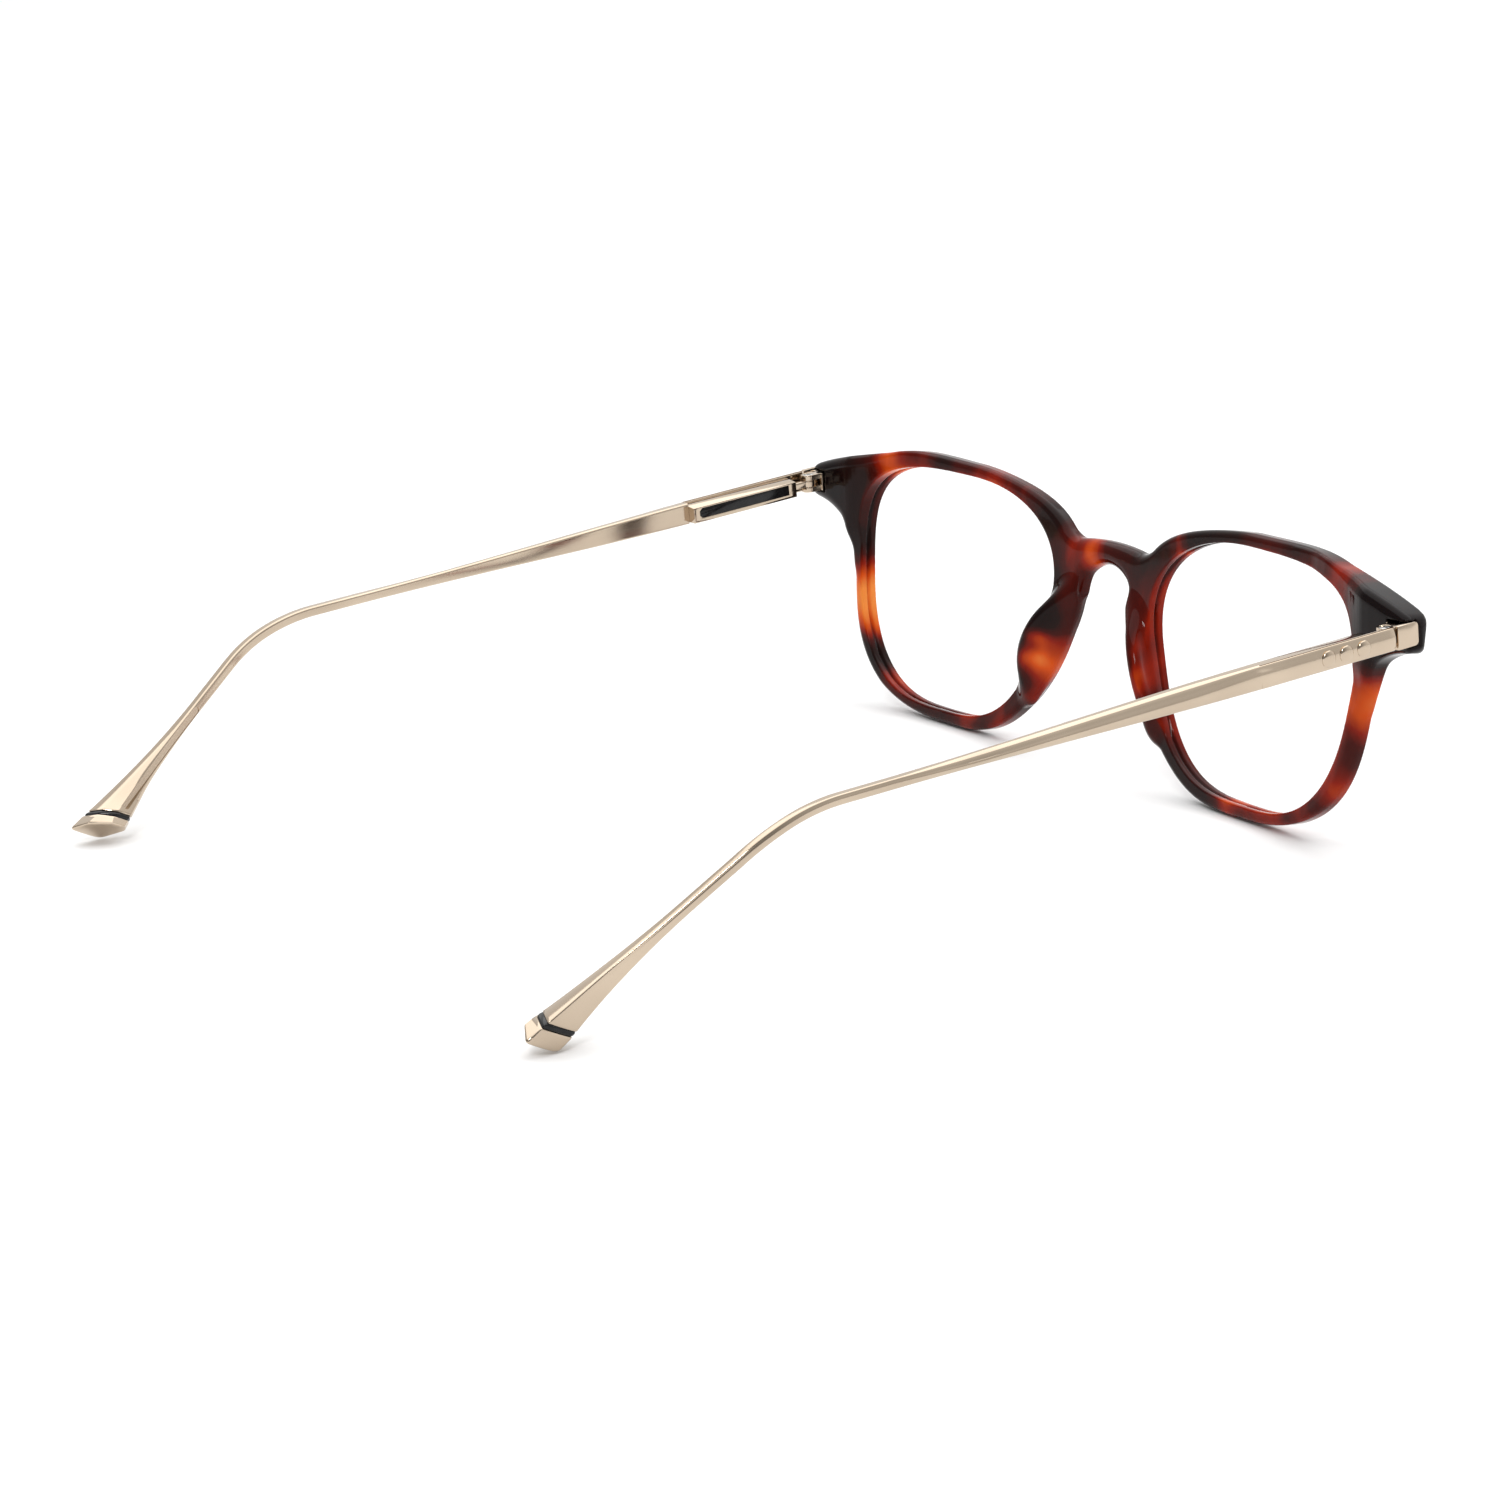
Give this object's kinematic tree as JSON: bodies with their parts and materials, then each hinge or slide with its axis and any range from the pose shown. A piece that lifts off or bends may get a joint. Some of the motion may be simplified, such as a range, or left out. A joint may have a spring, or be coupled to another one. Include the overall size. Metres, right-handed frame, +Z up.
{
  "type": "eyeglasses frame",
  "caption": "Full-rim eyeglasses frame: tortoiseshell acetate front with keyhole bridge, slim polished metal temples on sprung hinges, black bands near the flared tips.",
  "frame": {"origin": "on the table, under the middle of the frame's outline, with the open frame standing on its lower rims and temple tips", "axes": "+X towards the wearer's left, +Y from the front towards the temple tips, +Z up"},
  "size_m": [0.1396, 0.1432, 0.0406],
  "materials": {
    "acetate": "polished dark tortoiseshell acetate, translucent honey and red-brown patches",
    "gold": "polished, pale champagne gold plating",
    "steel": "bright nickel, turned",
    "enamel": "glossy black enamel"
  },
  "bodies": {
    "front_frame": {"front": "acetate", "nose_pad_left": "acetate", "nose_pad_right": "acetate", "hinge_block_left": "gold", "hinge_block_right": "gold", "block_screw_left": "steel", "block_screw_right": "steel", "hinge_screw_left": "steel", "hinge_screw_right": "steel"},
    "slider_link_left": {"hinge_slider_left": "gold", "spring_nut_left": "gold", "spring_left": "steel"},
    "slider_link_right": {"hinge_slider_right": "gold", "spring_nut_right": "gold", "spring_right": "steel"},
    "temple_arm_left": {"temple_left": "gold", "hinge_housing_left": "gold", "plaque_left": "enamel", "studs_left": "gold", "tip_band_left": "enamel"},
    "temple_arm_right": {"temple_right": "gold", "hinge_housing_right": "gold", "plaque_right": "enamel", "studs_right": "gold", "tip_band_right": "enamel"}
  },
  "joints": [
    {"name": "fold_left", "type": "hinge", "parent": "front_frame", "child": "slider_link_left", "pos_m": [0.0672, -0.06213, 0.033], "axis": [0, 0.072, 0.9974], "range_deg": [-8, 85]},
    {"name": "pull_left", "type": "slide", "parent": "slider_link_left", "child": "temple_arm_left", "axis": [-0.0201, 0.9972, -0.072], "range_m": [0, 0.001], "stiffness_N_per_m": 1200, "springref_m": -0.0008, "deforming": ["spring_left"]},
    {"name": "fold_right", "type": "hinge", "parent": "front_frame", "child": "slider_link_right", "pos_m": [-0.0672, -0.06213, 0.033], "axis": [0, -0.072, -0.9974], "range_deg": [-8, 72]},
    {"name": "pull_right", "type": "slide", "parent": "slider_link_right", "child": "temple_arm_right", "axis": [0.0201, 0.9972, -0.072], "range_m": [0, 0.001], "stiffness_N_per_m": 1200, "springref_m": -0.0008, "deforming": ["spring_right"]}
  ]
}
